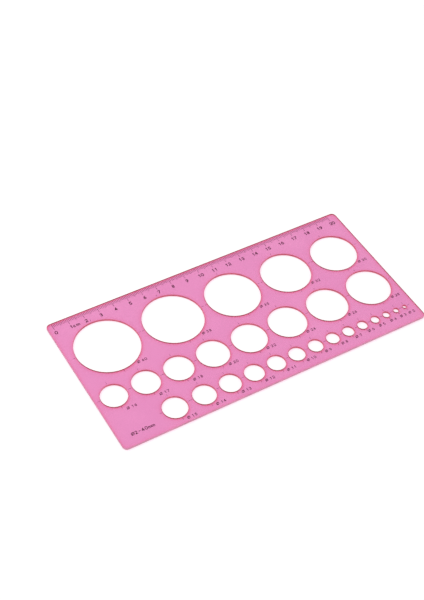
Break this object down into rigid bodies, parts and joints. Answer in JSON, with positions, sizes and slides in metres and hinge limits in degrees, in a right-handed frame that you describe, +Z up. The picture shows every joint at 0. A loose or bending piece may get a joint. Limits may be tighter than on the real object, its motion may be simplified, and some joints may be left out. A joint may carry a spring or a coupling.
{
  "type": "circle template",
  "caption": "Flat sheet of pink clear plastic with rows of round pen holes from large to small, a centimetre rule along one edge, and printed sizes and centre marks.",
  "frame": {"origin": "centre of the underside, which rests on the paper", "axes": "+X along the rule from its zero, +Y towards the rule's edge, +Z up, out of the printed face"},
  "size_m": [0.21, 0.102, 0.0014],
  "materials": {
    "clear_pink_plastic": "polished clear dyed sheet",
    "black_ink": "screen-printed ink"
  },
  "bodies": {
    "root": {"template_sheet": "clear_pink_plastic", "millimetre_ticks": "black_ink", "half_centimetre_ticks": "black_ink", "centimetre_ticks": "black_ink", "rule_numerals": "black_ink", "rule_unit_mark": "black_ink", "size_range_legend": "black_ink", "large_hole_labels": "black_ink", "large_centre_marks": "black_ink", "medium_hole_labels": "black_ink", "medium_centre_marks": "black_ink", "small_hole_labels": "black_ink", "small_centre_marks": "black_ink"}
  },
  "joints": []
}
